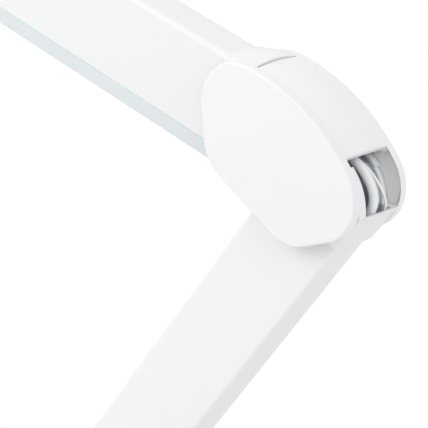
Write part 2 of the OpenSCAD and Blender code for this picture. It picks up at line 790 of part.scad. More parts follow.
module head_knuckle() {
    color("white") in_head() difference() {
        union() {
            both() slab(cheek_in, cheek_out) head_cheek();
            slab(-cheek_in - lap, cheek_in + lap) {
                head_lip();
                intersection() {
                    box(0, head_cut_top, -head_half, head_hub_r);
                    difference() { head_start(-wall_back); head_start(); }
                }
            }
            intersection() {
                head_plug(0, head_plug_end);
                slab(-far, far) head_start(-wall_back);
            }
        }
        disc(bolt_r + fit, -far, far);
        disc(sleeve_r + 2, -cheek_in, cheek_in);
        channel(0, -cable_off);
        screw_spots(head_screw_x, half_head) screw_hole();
    }
}
module upper_sleeve() { color("silver") in_head() tube(sleeve_r, bolt_r + fit, -cheek_in, cheek_in); }
module head_screws() { color("silver") in_head() screw_spots(head_screw_x, half_head) arm_screw(); }
module diffuser() {
    tongue_in = head_plug_h - diffuser_wall;
    color("aliceblue") in_head() {
        difference() {
            along(strip_start, lamp_end)
                bar_section(half_head, housing_low, head_half, strip_lip_r, diffuser_edge_r);
            along(strip_start + diffuser_wall, lamp_end - diffuser_wall) bar_section(tongue_in,
                housing_low - 2, head_half - diffuser_wall, strip_lip_r, diffuser_edge_r / 2);
        }
        both() slab(tongue_in, head_plug_h)
            box(head_cut_top + 2, lamp_end - end_lip - 1, housing_low - tongue_h, housing_low + lap);
    }
}
module led_board() {
    color("mintcream") in_head() slab(-board_w / 2, board_w / 2)
        box(board_x, lamp_end - end_lip - 1, board_y, board_y + board_t);
}
module leds() {
    count = floor((lamp_end - end_lip - board_x - 10) / led_pitch);
    color("khaki") in_head() slab(-led_w / 2, led_w / 2) for (i = [0:count])
        let (x = board_x + 5 + i * led_pitch, y = board_y + board_t) box(x, x + led_w, y, y + led_t);
}
module head_end_cap() {
    color("white") in_head() {
        along(lamp_end, head_len)
            bar_section(half_head, -head_half, head_half, head_edge_r, diffuser_edge_r);
        head_plug(lamp_end - end_lip, lamp_end + lap);
    }
}
module head_cable() {
    color("whitesmoke") swept([laid(head_point(join_x + joint_gap, -cable_off)),
        laid(head_point(head_plug_end + 1, -cable_off)),
        laid(head_point(board_x + 8, -cable_off / 2)), laid(head_point(board_x + 22, board_y - cable_d)),
        laid(head_point(board_x + 34, board_y - cable_d / 2 - 0.2))], cable_d, 8, [0, 1, 0]);
}

foot_pad();
base_plate();
ballast_disc();
base_shell();
base_screws();
swivel_post();
swivel_bearing();
swivel_nuts();
swivel_washer();
power_inlet();
control_board();
button_dome();
inlet_cable();
base_cable();
power_button();
turret();
turret_bolt();
turret_nut();
turret_washers();
turret_caps();
lower_arm_tube();
base_knuckle();
base_sleeve();
elbow_knuckle();
lower_sleeve();
friction_disc();
arm_screws();
turret_cable();
arm_cable();
elbow_front_cover();
elbow_back_cover();
elbow_strap();
elbow_bolts();
elbow_inserts();
elbow_washers();
strap_screw();
elbow_cable();
elbow_wire();
head_housing();
head_knuckle();
upper_sleeve();
head_screws();
diffuser();
led_board();
leds();
head_end_cap();
head_cable();
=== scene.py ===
# %% [markdown]
# A folding desk lamp, white all over: a round weighted base, a flat lower arm, an elbow that turns
# about two bolts, and a flat head with a strip of frosted plastic along its lower edge. The packed
# model gives the place and size of every piece; this file gives each one its real edges and finish.

# %% Load the frame
import json
import math

import bmesh
import bpy
from mathutils import Matrix, Vector


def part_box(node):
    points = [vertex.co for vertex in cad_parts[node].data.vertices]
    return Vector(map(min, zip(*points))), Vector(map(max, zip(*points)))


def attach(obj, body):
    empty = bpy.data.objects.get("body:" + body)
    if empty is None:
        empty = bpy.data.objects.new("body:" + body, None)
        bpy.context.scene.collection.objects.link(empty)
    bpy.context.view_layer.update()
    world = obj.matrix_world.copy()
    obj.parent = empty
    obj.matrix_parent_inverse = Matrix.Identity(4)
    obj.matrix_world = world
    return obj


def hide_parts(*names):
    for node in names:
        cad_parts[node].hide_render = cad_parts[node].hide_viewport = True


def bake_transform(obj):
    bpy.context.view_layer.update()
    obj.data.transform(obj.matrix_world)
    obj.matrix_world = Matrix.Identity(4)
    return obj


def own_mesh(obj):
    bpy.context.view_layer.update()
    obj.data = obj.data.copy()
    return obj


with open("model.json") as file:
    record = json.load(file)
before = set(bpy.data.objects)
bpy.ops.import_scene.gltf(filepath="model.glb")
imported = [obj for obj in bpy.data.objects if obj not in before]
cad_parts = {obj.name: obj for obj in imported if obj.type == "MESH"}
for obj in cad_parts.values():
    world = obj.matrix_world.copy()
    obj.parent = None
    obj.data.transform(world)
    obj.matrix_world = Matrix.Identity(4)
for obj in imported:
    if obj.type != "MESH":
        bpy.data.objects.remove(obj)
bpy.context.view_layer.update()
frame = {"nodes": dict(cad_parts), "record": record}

# %% [markdown]
# The picture is taken with a long lens from the front right, a little above the elbow. The elbow's
# centre lies half way between its two bolts, so the camera is placed from there. The directions of
# the arm and the elbow follow from the joints; the head stands bent by head_bend from the elbow.

# %% Bolts, directions and the camera
MM = 0.001
joints = {j["name"]: j for j in frame["record"]["behaviour"]["joints"]}
pivot_names = ("base_tilt", "elbow_lower", "elbow_upper")
pivot_base, pivot_low, pivot_up = (Vector(joints[name]["pos_m"]) for name in pivot_names)
head_bend = 16.0


def direction(a, b):
    return math.degrees(math.atan2(b.z - a.z, b.x - a.x))


arm_angle = direction(pivot_low, pivot_base)
elbow_angle = direction(pivot_up, pivot_low)
head_angle = elbow_angle + 180 + head_bend
print("arm, elbow, head, degrees:", round(arm_angle, 1), round(elbow_angle, 1), round(head_angle, 1))

camera_offset = Vector((529.94, -617.54, 228.37)) * MM
sight = Vector((-0.65118, 0.69830, -0.29722))
lens = 171.26
camera = bpy.data.objects.new("camera", bpy.data.cameras.new("camera"))
camera.data.lens = lens
camera.data.sensor_width = 36.0
camera.location = (pivot_low + pivot_up) / 2 + camera_offset
camera.rotation_mode = "QUATERNION"
camera.rotation_quaternion = sight.to_track_quat("-Z", "Y")
bpy.context.scene.collection.objects.link(camera)
bpy.context.scene.camera = camera
bpy.context.scene.view_settings.view_transform = "Standard"

# %% [markdown]
# Each arm is easiest to draw lying flat, with x along the arm, y across it and z towards the front.
# A matrix then stands the drawing up at its bolt, and turns millimetres into metres. The depths of
# the covers, the cheeks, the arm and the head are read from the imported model.

# %% Places for the drawings


def upright(place, angle):
    c, s = math.cos(math.radians(angle)), math.sin(math.radians(angle))
    turn = Matrix(((c, -s, 0, place.x), (0, 0, -1, place.y), (s, c, 0, place.z), (0, 0, 0, 1)))
    return turn @ Matrix.Scale(MM, 4)


IN_ARM = upright(pivot_low, arm_angle)
IN_ELBOW = upright((pivot_low + pivot_up) / 2, elbow_angle)
IN_HEAD = upright(pivot_up, head_angle)
IN_TURRET = upright(pivot_base, 0)
IN_BASE = Matrix.Scale(MM, 4)

pivot_gap = (pivot_low - pivot_up).length / MM
lower_len = (pivot_low - pivot_base).length / MM


def depth_of(node):
    low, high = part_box(node)
    return -low.y / MM, -high.y / MM


half_elbow, cover_in = depth_of("elbow_front_cover")
cheek_out = depth_of("elbow_knuckle")[0]
half_arm, half_head = depth_of("lower_arm_tube")[0], depth_of("head_housing")[0]
cheek_t = 3.5
cheek_in = cheek_out - cheek_t
print("depths, mm:", round(half_elbow, 2), round(cover_in, 2), round(cheek_out, 2), round(half_arm, 2))

# %% [markdown]
# Most outlines are straight lines and arcs. An arc is what a vertex leaves behind when it is spun
# round the arc's centre, so an outline is a list of points and spun vertices, closed to one face.
# Plates, turned parts and round pins are all made from such outlines.

# %% Drawing with points and arcs
NEAR, WELD = 1e-3, 1e-4
WELD_M = 1e-6


def outline(bm, strokes):
    """A face in the plane z = 0. A stroke is (x, y) or an arc (centre x, y, radius, from, to, steps)."""
    ends = []
    for stroke in strokes:
        if len(stroke) == 2:
            vertex = bm.verts.new((*stroke, 0))
            ends.append((vertex, vertex))
            continue
        cx, cy, r, a0, a1, steps = stroke
        start = math.radians(a0)
        vertex = bm.verts.new((cx + r * math.cos(start), cy + r * math.sin(start), 0))
        made = bmesh.ops.spin(bm, geom=[vertex], cent=(cx, cy, 0), axis=(0, 0, 1),
                              angle=math.radians(a1 - a0), steps=steps)
        ends.append((vertex, next(g for g in made["geom_last"] if isinstance(g, bmesh.types.BMVert))))
    for (_, last), (first, _) in zip(ends, ends[1:] + ends[:1]):
        if last is not first:
            bm.edges.new((last, first))
    bmesh.ops.remove_doubles(bm, verts=bm.verts, dist=NEAR)
    return bmesh.ops.contextual_create(bm, geom=bm.edges)["faces"][0]


def at_height(bm, z):
    """The edges that lie in a plane across the depth."""
    return [e for e in bm.edges if all(abs(v.co.z - z) < NEAR for v in e.verts)]


def climb(edge):
    """How far an edge runs across the depth."""
    return abs(edge.verts[0].co.z - edge.verts[1].co.z)


def rounded(bm, edges, offset, segments=4):
    bmesh.ops.bevel(bm, geom=edges, offset=offset, affect="EDGES", segments=segments, profile=0.5,
                    material=-1, offset_type="OFFSET", clamp_overlap=False)


def lifted(bm, faces, height):
    """Extrudes faces by a height and gives the new ones; the old ones stay as the floor."""
    made = bmesh.ops.extrude_face_region(bm, geom=faces)["geom"]
    corners = [g for g in made if isinstance(g, bmesh.types.BMVert)]
    bmesh.ops.translate(bm, verts=corners, vec=(0, 0, height))
    return [g for g in made if isinstance(g, bmesh.types.BMFace)]


def slab(strokes, z0, z1, round0=0.0, round1=0.0, segments=4):
    """A plate between two depths, with its back rim rounded by round0 and its front rim by round1."""
    bm = bmesh.new()
    face = outline(bm, strokes)
    bmesh.ops.translate(bm, verts=bm.verts, vec=(0, 0, z0))
    lifted(bm, [face], z1 - z0)
    bmesh.ops.recalc_face_normals(bm, faces=bm.faces)
    for z, r in ((z0, round0), (z1, round1)):
        if r:
            rounded(bm, at_height(bm, z), r, segments)
    return bm


def lathe(strokes, steps=96):
    """A solid of revolution about z, from strokes given as radius and height."""
    bm = bmesh.new()
    outline(bm, strokes)
    bmesh.ops.delete(bm, geom=bm.faces, context="FACES_ONLY")
    turned(bm, 90, "X")
    bmesh.ops.spin(bm, geom=bm.verts[:] + bm.edges[:], cent=(0, 0, 0), axis=(0, 0, 1),
                   angle=2 * math.pi, steps=steps, use_merge=True)
    bmesh.ops.remove_doubles(bm, verts=bm.verts, dist=WELD)
    loose = [e for e in bm.edges if not e.link_faces]
    bmesh.ops.delete(bm, geom=loose, context="EDGES")
    bmesh.ops.recalc_face_normals(bm, faces=bm.faces)
    return bm


def block(x0, x1, y0, y1, z0, z1):
    """A plain rectangular plate or cutter."""
    return slab([(x0, y0), (x1, y0), (x1, y1), (x0, y1)], z0, z1)


def rod(r, z0, z1, steps=48, x=0.0, y=0.0):
    """A plain round cutter or pin."""
    bm = bmesh.new()
    bmesh.ops.create_cone(bm, cap_ends=True, segments=steps, radius1=r, radius2=r, depth=z1 - z0)
    bmesh.ops.translate(bm, verts=bm.verts, vec=(x, y, (z0 + z1) / 2))
    return bm


def moved(bm, x=0.0, y=0.0, z=0.0):
    bmesh.ops.translate(bm, verts=bm.verts, vec=(x, y, z))
    return bm


def turned(bm, angle, axis):
    turn = Matrix.Rotation(math.radians(angle), 3, axis)
    bmesh.ops.rotate(bm, verts=bm.verts, cent=(0, 0, 0), matrix=turn)
    return bm


def polar(r, angle):
    return (r * math.cos(math.radians(angle)), r * math.sin(math.radians(angle)))


# %% [markdown]
# Where two forms meet in one casting, or a screw needs its hole, a Boolean does the joining. The
# helper turns the drawings into objects for a moment and reads the result back as a bmesh. A
# finished piece is shaded smooth, except over edges that turn by more than CREASE degrees. Plates
# and plugs run OVERLAP millimetres into what they are joined to.

# %% Joining and cutting
CREASE, OVERLAP = 32, 0.4


def shelf(bm, name="tool"):
    """Puts a drawing into the scene as an object."""
    mesh = bpy.data.meshes.new(name)
    bm.to_mesh(mesh)
    bm.free()
    thing = bpy.data.objects.new(name, mesh)
    bpy.context.scene.collection.objects.link(thing)
    return thing


def combined(first, others, operation="UNION"):
    host = shelf(first)
    tools = [shelf(bm) for bm in others]
    for tool in tools:
        step = host.modifiers.new("step", "BOOLEAN")
        step.operation, step.solver, step.object = operation, "EXACT", tool
    bpy.context.view_layer.update()
    bm = bmesh.new()
    bm.from_object(host, bpy.context.evaluated_depsgraph_get())
    for thing in [host] + tools:
        mesh = thing.data
        bpy.data.objects.remove(thing)
        bpy.data.meshes.remove(mesh)
    bmesh.ops.remove_doubles(bm, verts=bm.verts, dist=WELD)
    bmesh.ops.dissolve_degenerate(bm, edges=bm.edges, dist=WELD)
    return bm


def cut(first, others):
    return combined(first, others, "DIFFERENCE")


def group(parts):
    """Separate solids in one bmesh, as identical fasteners share one node."""
    whole = bmesh.new()
    for bm in parts:
        mesh = bpy.data.meshes.new("part")
        bm.to_mesh(mesh)
        bm.free()
        whole.from_mesh(mesh)
        bpy.data.meshes.remove(mesh)
    return whole


def piece(name, bm, place, body, finish, *nodes):
    """Stands a drawing up as an object that rides on a body and shows in place of the nodes."""
    bmesh.ops.recalc_face_normals(bm, faces=bm.faces)
    bm.transform(place)
    thing = shelf(bm, name)
    mesh = thing.data
    mesh.shade_smooth()
    mesh.set_sharp_from_angle(angle=math.radians(CREASE))
    mesh.materials.append(finish)
    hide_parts(*nodes)
    if body:
        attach(thing, body)
    print(f"{name}: {len(mesh.polygons)} faces")
    return thing


# %% [markdown]
# A material is a small circuit of nodes. A wrapped socket lets the circuit be written as an
# expression: each operator adds the Math node that it stands for.

# %% A socket that can be reckoned with


class Level:
    """A number that varies over a surface."""

    def __init__(self, finish, socket):
        self.finish, self.socket = finish, socket

    def _math(self, operation, a, b):
        return self.finish.add("ShaderNodeMath", {"operation": operation}, {0: a, 1: b})[0]

    def __add__(self, other):
        return self._math("ADD", self, other)

    __radd__ = __add__

    def __mul__(self, other):
        return self._math("MULTIPLY", self, other)

    __rmul__ = __mul__

    def __sub__(self, other):
        return self._math("SUBTRACT", self, other)

    def __rsub__(self, other):
        return self._math("SUBTRACT", other, self)

    def __truediv__(self, other):
        return self._math("DIVIDE", self, other)

    def __rtruediv__(self, other):
        return self._math("DIVIDE", other, self)

    def __pow__(self, other):
        return self._math("POWER", self, other)

    def __rpow__(self, other):
        return self._math("POWER", other, self)


class Finish:
    """A material with its Principled shader, and one method that adds any other node."""

    def __init__(self, name, slot, **values):
        self.material = bpy.data.materials.new(name)
        self.material.use_nodes = True
        self.material["slot"] = slot
        self.tree = self.material.node_tree
        self.tree.nodes.clear()
        self.shader = self.tree.nodes.new("ShaderNodeBsdfPrincipled")
        end = self.tree.nodes.new("ShaderNodeOutputMaterial")
        self.tree.links.new(self.shader.outputs[0], end.inputs[0])
        for socket, value in values.items():
            self.shader.inputs[socket.replace("_", " ")].default_value = value
        self.place = self.add("ShaderNodeTexCoord", {}, {})["Object"]

    def add(self, kind, settings, inputs):
        node = self.tree.nodes.new(kind)
        for key, value in settings.items():
            setattr(node, key, value)
        for key, value in inputs.items():
            if isinstance(value, Level):
                self.tree.links.new(value.socket, node.inputs[key])
            else:
                node.inputs[key].default_value = value
        return {k: Level(self, s) for k, s in [*enumerate(node.outputs), *node.outputs.items()]}

    def link(self, socket, level):
        self.tree.links.new(level.socket, self.shader.inputs[socket])

    def noise(self, scale, detail=2.0, rough=0.5, stretch=(1, 1, 1)):
        """Noise with a feature of about 1000 / scale millimetres, drawn out along an axis by stretch."""
        place = self.place
        if stretch != (1, 1, 1):
            place = self.add("ShaderNodeMapping", {}, {"Vector": place, "Scale": stretch})["Vector"]
        return self.add("ShaderNodeTexNoise", {}, {"Vector": place, "Scale": scale, "Detail": detail,
                                                   "Roughness": rough})["Fac"]

    def mix(self, factor, a, b):
        return self.add("ShaderNodeMix", {"data_type": "RGBA"}, {0: factor, 6: a, 7: b})[2]

    def bump(self, height, depth_mm):
        inputs = {"Strength": 1.0, "Distance": depth_mm * MM, "Height": height}
        self.link("Normal", self.add("ShaderNodeBump", {}, inputs)["Normal"])


def grey(value, blue=0.0):
    return (value - blue, value, value + blue, 1.0)


# %% [markdown]
# The arms are extruded aluminium under white powder paint. The powder melts into a skin that is
# smooth to the touch but faintly pebbled in the light, so the bump is shallow with grains of
# about a millimetre, and the gloss wanders a little. The moulded covers are smoother still.

# %% White finishes


def white(name, slot, tone, rough, pebble_scale, pebble_mm):
    made = Finish(name, slot)
    drift, dust = made.noise(9.0, 3.0), made.noise(130.0, 4.0)
    dull, clean = grey(tone - 0.012, -0.001), grey(tone + 0.006, 0.002)
    made.link("Base Color", made.mix(drift * 0.6 + dust * 0.4, dull, clean))
    made.link("Roughness", made.noise(60.0, 3.0) * 0.10 + (rough - 0.05))
    made.bump(made.noise(pebble_scale, 3.0, 0.55), pebble_mm)
    return made.material


paint = white("white_powder_paint", "arm_white", 0.915, 0.42, 900.0, 0.012)
base_paint = white("white_base_paint", "base_white", 0.905, 0.46, 800.0, 0.016)
moulded = white("white_moulded_plastic", "cover_white", 0.93, 0.36, 1700.0, 0.005)
sheath = white("white_cable_sheath", "cable_white", 0.92, 0.38, 500.0, 0.01)

# %% [markdown]
# The strip under the head is frosted plastic. It is a little blue beside the paint, and the light
# that enters it spreads, which Subsurface shows without making it clear.

# %% Frosted strip
frosting = Finish("frosted_diffuser", "diffuser_frost",
                  Subsurface_Weight=0.25, Subsurface_Scale=0.004, IOR=1.49)
cloud = frosting.noise(40.0, 4.0)
frosting.link("Base Color", frosting.mix(cloud, (0.765, 0.815, 0.82, 1), (0.785, 0.83, 0.835, 1)))
frosting.link("Roughness", frosting.noise(250.0, 3.0) * 0.12 + 0.40)
frosting.bump(frosting.noise(2600.0, 2.0), 0.004)
frost = frosting.material

# %% [markdown]
# Bolts, nuts and washers are zinc-plated steel: grey with a cold blue tinge, and marked by the
# tool that turned them. Stretched noise gives those fine marks. The rubber, nylon, plastics and
# boards have one grain each, which colours them, wanders in gloss and stands out a little. A small
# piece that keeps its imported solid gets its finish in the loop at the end.

# %% Metals, rubber, nylon and boards


def metal(name, slot, dark, light, rough, stretch=(1, 1, 1)):
    made = Finish(name, slot, Metallic=1.0)
    marks = made.noise(700.0, 3.0, 0.6, stretch)
    stain = made.noise(55.0, 4.0, 0.6)
    made.link("Base Color", made.mix(marks * 0.5 + stain * 0.5, dark, light))
    made.link("Roughness", marks * 0.18 + stain * 0.12 + (rough - 0.15))
    made.bump(marks, 0.01)
    return made.material


def plain(name, slot, dark, light, rough, scale, pebble_mm):
    made = Finish(name, slot)
    grain = made.noise(scale, 4.0, 0.6)
    made.link("Base Color", made.mix(grain, dark, light))
    made.link("Roughness", made.noise(scale / 5, 3.0) * 0.16 + (rough - 0.08))
    made.bump(grain, pebble_mm)
    return made.material


steel = metal("zinc_plated_steel", "steel", (0.50, 0.54, 0.60, 1), (0.66, 0.70, 0.75, 1), 0.36,
              stretch=(1, 0.1, 1))
brass = metal("brass", "insert_brass", (0.66, 0.50, 0.24, 1), (0.80, 0.64, 0.34, 1), 0.38)
iron = metal("cast_ballast", "ballast_iron", (0.10, 0.10, 0.11, 1), (0.20, 0.20, 0.21, 1), 0.70)
plate_paint = plain("grey_plate_paint", "plate_paint", grey(0.55), grey(0.60), 0.50, 900.0, 0.02)
nylon = plain("natural_nylon", "nylon", (0.74, 0.72, 0.65, 1), (0.80, 0.78, 0.71, 1), 0.50, 600.0, 0.01)
rubber = plain("dark_foot_rubber", "pad_rubber", grey(0.030), grey(0.050), 0.80, 1300.0, 0.05)
black = plain("black_plastic", "black_plastic", grey(0.018), grey(0.032), 0.45, 1500.0, 0.02)
board = plain("green_board", "board_green", (0.02, 0.11, 0.05, 1), (0.03, 0.16, 0.07, 1), 0.38,
              300.0, 0.01)
light_board = plain("white_board", "board_white", grey(0.78), grey(0.83), 0.40, 300.0, 0.01)
led = plain("led_phosphor", "led_yellow", (0.80, 0.62, 0.12, 1), (0.88, 0.72, 0.20, 1), 0.30,
            900.0, 0.01)

CAD_FINISH = {
    "arm_white": paint, "base_white": base_paint, "cover_white": moulded, "plate_paint": plate_paint,
    "ballast_iron": iron, "steel": steel, "insert_brass": brass, "nylon": nylon, "pad_rubber": rubber,
    "black_plastic": black, "cable_white": sheath, "board_green": board, "board_white": light_board,
    "led_yellow": led, "diffuser_frost": frost,
}
for part in frame["record"]["subparts"]:
    node = frame["nodes"][part["node"]]
    for slot in node.material_slots:
        slot.material = CAD_FINISH[part["material_slot"]]
print("finishes:", len(CAD_FINISH))

# %% [markdown]
# The elbow's two covers are moulded plates with one outline: round ends beside the bolts, round
# corners on the inner side, and a wide arc on the outer side that runs into the ends smoothly.

# %% Cover outline
end_r, end_x, end_y = 19.7, pivot_gap / 2 + 2.9, 7.6
corner_r, corner_x = 19.5, pivot_gap / 2 - 5.8
crown_h, crown_step, inner_drop = 32.2, 1.2, 23.4
corner_y = corner_r - inner_drop
crown_drop = end_y - crown_h
crown_r = (end_r ** 2 - end_x ** 2 - crown_drop ** 2) / (2 * (end_r + crown_drop))
crown_y = crown_h - crown_r
rise = math.degrees(math.atan2(end_y - crown_y, end_x))
print("crown radius, mm:", round(crown_r, 1))


def crown_steps(start, stop):
    """The number of straight lines that stand for a part of the crown's arc."""
    return math.ceil((stop - start) / crown_step)


def cover_strokes(*stops):
    """The covers' outline; stops are angles on the crown's arc where a vertex has to lie."""
    dx, dy = corner_x - end_x, corner_y - end_y
    side = math.degrees(math.atan2(dy, dx) + math.acos((end_r - corner_r) / math.hypot(dx, dy)))
    marks = [rise, *stops, 180 - rise]
    crown = [(0, crown_y, crown_r, a, b, crown_steps(a, b)) for a, b in zip(marks, marks[1:])]
    return [
        (corner_x, corner_y, corner_r, -90, side, 14),
        (end_x, end_y, end_r, side, rise, 30),
        *crown,
        (-end_x, end_y, end_r, 180 - rise, 180 - side, 30),
        (-corner_x, corner_y, corner_r, 180 - side, 270, 14),
    ]


# %% [markdown]
# The front cover is one flat moulding with a soft edge. Its outline is extruded to the cover's
# thickness and the front rim is bevelled in five steps, which catches a thin line of light.

# %% Elbow front cover
cover_edge, cover_back_edge = 1.1, 0.25
front = slab(cover_strokes(), cover_in, half_elbow, cover_back_edge, cover_edge, 5)
piece("elbow_front_cover_shell", front, IN_ELBOW, "elbow", moulded, "elbow_front_cover")

# %% [markdown]
# The pivot bolts are alike, and so are the shanks of the screws. A hole is a little wider than
# what runs through it, and the hollow for a head leaves a narrow ring of shadow round it.

# %% Sizes of bolts, screws and their holes
bolt_r, bolt_hole_r, socket_r, socket_t = 3.0, 3.05, 2.5, 1.5
bolt_head_r, bolt_head_t, bolt_sink_r, bolt_sink_t = 6.0, 2.4, 6.1, 2.46
screw_r, screw_hole_r = 1.5, 1.55
strap_head_r, strap_head_t, strap_sink_r, strap_sink_t = 3.0, 1.6, 3.1, 2.0
arm_head_r, arm_screw_l, arm_sink_r, arm_sink_t, arm_hole_l = 2.5, 6.1, 2.55, 1.02, 6.5
hole_end = 30


def sunk(r, half, depth, steps=48, x=0.0, y=0.0):
    """A cutter for a round hole in the back of a part that reaches half behind its middle."""
    return rod(r, -half - 1, depth - half, steps, x, y)


# %% [markdown]
# The back cover and the strap read as one moulding: the strap closes the elbow's outer side
# between the slit at the head and the window, and runs into the back cover without a seam. It
# follows the covers' arc and swells in mid depth, as moulded skins do. Along the window the back
# cover's inner rim slopes away, so the window looks out over a thin edge.

# %% Back cover with its strap
bolt_low, bolt_up = pivot_gap / 2, -pivot_gap / 2
slit_angle, window_angle, window_span = 103.0, 83.0, 54.0
skin_t, strap_inset, strap_swell, rings = 2.0, 0.6, 1.2, 14
back_edge, strap_edge, rim_w, rim_drop = 1.6, 0.5, 1.4, 2.4
strap_in = crown_r - strap_inset - skin_t
stem_r = 3.0
stem_v = crown_h - strap_inset - skin_t - stem_r + OVERLAP


def reach(x, angle, r):
    """Distance from (x, 0) to a circle about the crown's centre, along an angle."""
    a = math.radians(angle)
    b = x * math.cos(a) - crown_y * math.sin(a)
    return math.sqrt(b * b - x * x - crown_y ** 2 + r * r) - b


def crown_angle(x, angle, r):
    """The angle at the crown's centre of the point that reach finds."""
    a, d = math.radians(angle), reach(x, angle, r)
    return math.degrees(math.atan2(d * math.sin(a) - crown_y, x + d * math.cos(a)))


def on_crown(r, angle):
    x, y = polar(r, angle)
    return Vector((x, crown_y + y, 0))


def nearest(bm, point):
    return min(bm.verts, key=lambda v: (v.co - point).length)


def spread(bm, verts, centre_y, radius, outwards):
    """Moves a ring of vertices away from the axis of its arc."""
    k = 1 + outwards / radius
    bmesh.ops.scale(bm, verts=verts, vec=(k, k, 1), space=Matrix.Translation((0, -centre_y, 0)))


def bulge(swell, depth):
    """How far a moulded skin swells at a depth from -1, at the back, to 1, at the front."""
    return swell * (1 - depth ** 2)


def strap_offset(depth):
    """How far the strap stands out from the covers' arc, which it reaches at the back."""
    return bulge(strap_swell, depth) - strap_inset * (1 + depth) / 2


def swollen(bm, swell, radius):
    """Divides a slab across its depth and swells it about the axis z."""
    across = [e for e in bm.edges if climb(e) > 1]
    bmesh.ops.subdivide_edges(bm, edges=across, cuts=11, use_grid_fill=True)
    for depth in sorted({round(v.co.z, 2) for v in bm.verts}):
        ring = [v for v in bm.verts if abs(v.co.z - depth) < 0.02]
        spread(bm, ring, 0, radius, bulge(swell, depth / cover_in))


start = crown_angle(bolt_low, window_angle, crown_r)
stop = crown_angle(bolt_up, slit_angle, crown_r)
inner_start = crown_angle(bolt_low, window_angle, strap_in)
inner_stop = crown_angle(bolt_up, slit_angle, strap_in)
back = bmesh.new()
plate = outline(back, cover_strokes(start, stop))
ends = [nearest(back, on_crown(crown_r, angle)) for angle in (start, stop)]
steps = crown_steps(start, stop)
inner_step = (inner_stop - inner_start) / steps
inner = [on_crown(strap_in, inner_start + inner_step * i) for i in range(steps + 1)]
bmesh.utils.face_split(plate, ends[0], ends[1], coords=inner)
moved(back, z=-half_elbow)
floors = lifted(back, back.faces[:], half_elbow - cover_in)
band, plate = sorted(floors, key=lambda f: f.calc_area())
rim = []
for v in plate.verts:
    turn = math.degrees(math.atan2(v.co.y, v.co.x - bolt_low))
    if v not in band.verts[:] and window_angle - window_span < turn < window_angle:
        rim.append(v)
bmesh.ops.inset_region(back, faces=[plate], thickness=rim_w, use_boundary=True,
                       use_even_offset=True)
bmesh.ops.translate(back, verts=rim, vec=(0, 0, -rim_drop))
for i in range(rings):
    below, band = band, lifted(back, [band], 2 * cover_in / rings)[0]
    bmesh.ops.delete(back, geom=[below], context="FACES_ONLY")
    before, now = -1 + 2 * i / rings, -1 + 2 * (i + 1) / rings
    spread(back, list(band.verts), crown_y, crown_r, strap_offset(now) - strap_offset(before))
bmesh.ops.recalc_face_normals(back, faces=back.faces)
outer_rim = at_height(back, -half_elbow)
seam = [e for e in outer_rim if all(f.normal.z < -0.9 for f in e.link_faces)]
bmesh.ops.dissolve_edges(back, edges=seam)
rounded(back, at_height(back, -half_elbow), back_edge, 6)
corners = [e for e in back.edges if min(v.co.z for v in e.verts) > 0.1 - cover_in
           and climb(e) > 0.5 and e.calc_face_angle() > 1.0]
rounded(back, corners, strap_edge, 3)
back = combined(back, [rod(stem_r, -cover_in - 1, cover_in, 48, 0, stem_v)])
holes = [sunk(bolt_sink_r, half_elbow, bolt_sink_t, 64, x) for x in (bolt_low, bolt_up)]
holes += [sunk(bolt_hole_r, half_elbow, half_elbow, 48, x) for x in (bolt_low, bolt_up)]
holes += [sunk(strap_sink_r, half_elbow, strap_sink_t, 48, 0, stem_v),
          rod(screw_hole_r, -hole_end, hole_end, 32, 0, stem_v)]
back = cut(back, holes)
piece("elbow_back_moulding", back, IN_ELBOW, "elbow", moulded, "elbow_back_cover", "elbow_strap")

# %% [markdown]
# Each elbow bolt has a low round head with a hexagon socket, sunk into the back cover. The small
# screws have a cross recess, cut here as two crossed slots.

# %% Elbow bolts and the strap's screw


def bolt(z_head, z_end):
    z_neck = z_head + bolt_head_t
    body = lathe([
        (0, z_head), (bolt_head_r - 0.4, z_head), (bolt_head_r, z_head + 0.4), (bolt_head_r, z_neck),
        (bolt_r, z_neck), (bolt_r, z_end - 0.5), (bolt_r - 0.5, z_end), (0, z_end)], 64)
    return cut(body, [rod(socket_r, z_head - 1, z_head + socket_t, 6)])


def cross_screw(head_r, z_head, z_end, head_t=1.0):
    body = lathe([
        (0, z_head), (head_r, z_head), (head_r, z_head + 0.25), (screw_r, z_head + head_t),
        (screw_r, z_end - 0.4), (screw_r - 0.4, z_end), (0, z_end)], 40)
    slot_w, slot_l, slot_end = 0.28 * head_r, 1.1 * head_r, z_head + 0.55 * head_t
    return cut(body, [block(-w / 2, w / 2, -h / 2, h / 2, z_head - 1, slot_end)
                      for w, h in ((slot_w, slot_l), (slot_l, slot_w))])


bolts = [moved(bolt(-half_elbow, cover_in + 2.6), x) for x in (bolt_low, bolt_up)]
piece("elbow_bolts_turned", group(bolts), IN_ELBOW, "elbow", steel, "elbow_bolts")
small = moved(cross_screw(strap_head_r, 0.4 - half_elbow, half_elbow - 1.4, strap_head_t), 0, stem_v)
piece("strap_screw_turned", small, IN_ELBOW, "elbow", steel, "strap_screw")

# %% [markdown]
# An arm is a length of flat rectangular aluminium tube with rounded long edges. It is drawn as a
# section, extruded along the arm, and hollowed; the screw holes are countersunk from the back.

# %% Arm tube and its screws
arm_w, wall, edge_r, end_edge, step_x = 41.6, 2.2, 2.1, 0.35, 7.0
half_w, tube_end = arm_w / 2, lower_len - arm_w / 2 - 6
inner_r, screw_in = edge_r / 2, 26
SCREW_Y = (-7, 7)


def bar_strokes(half_d, y0, y1, r0, r1, steps=8):
    """A rectangle of depth and width, with corner radius r0 along y0 and r1 along y1."""
    return [(half_d - r0, y0 + r0, r0, -90, 0, steps), (half_d - r1, y1 - r1, r1, 0, 90, steps),
            (r1 - half_d, y1 - r1, r1, 90, 180, steps), (r0 - half_d, y0 + r0, r0, 180, 270, steps)]


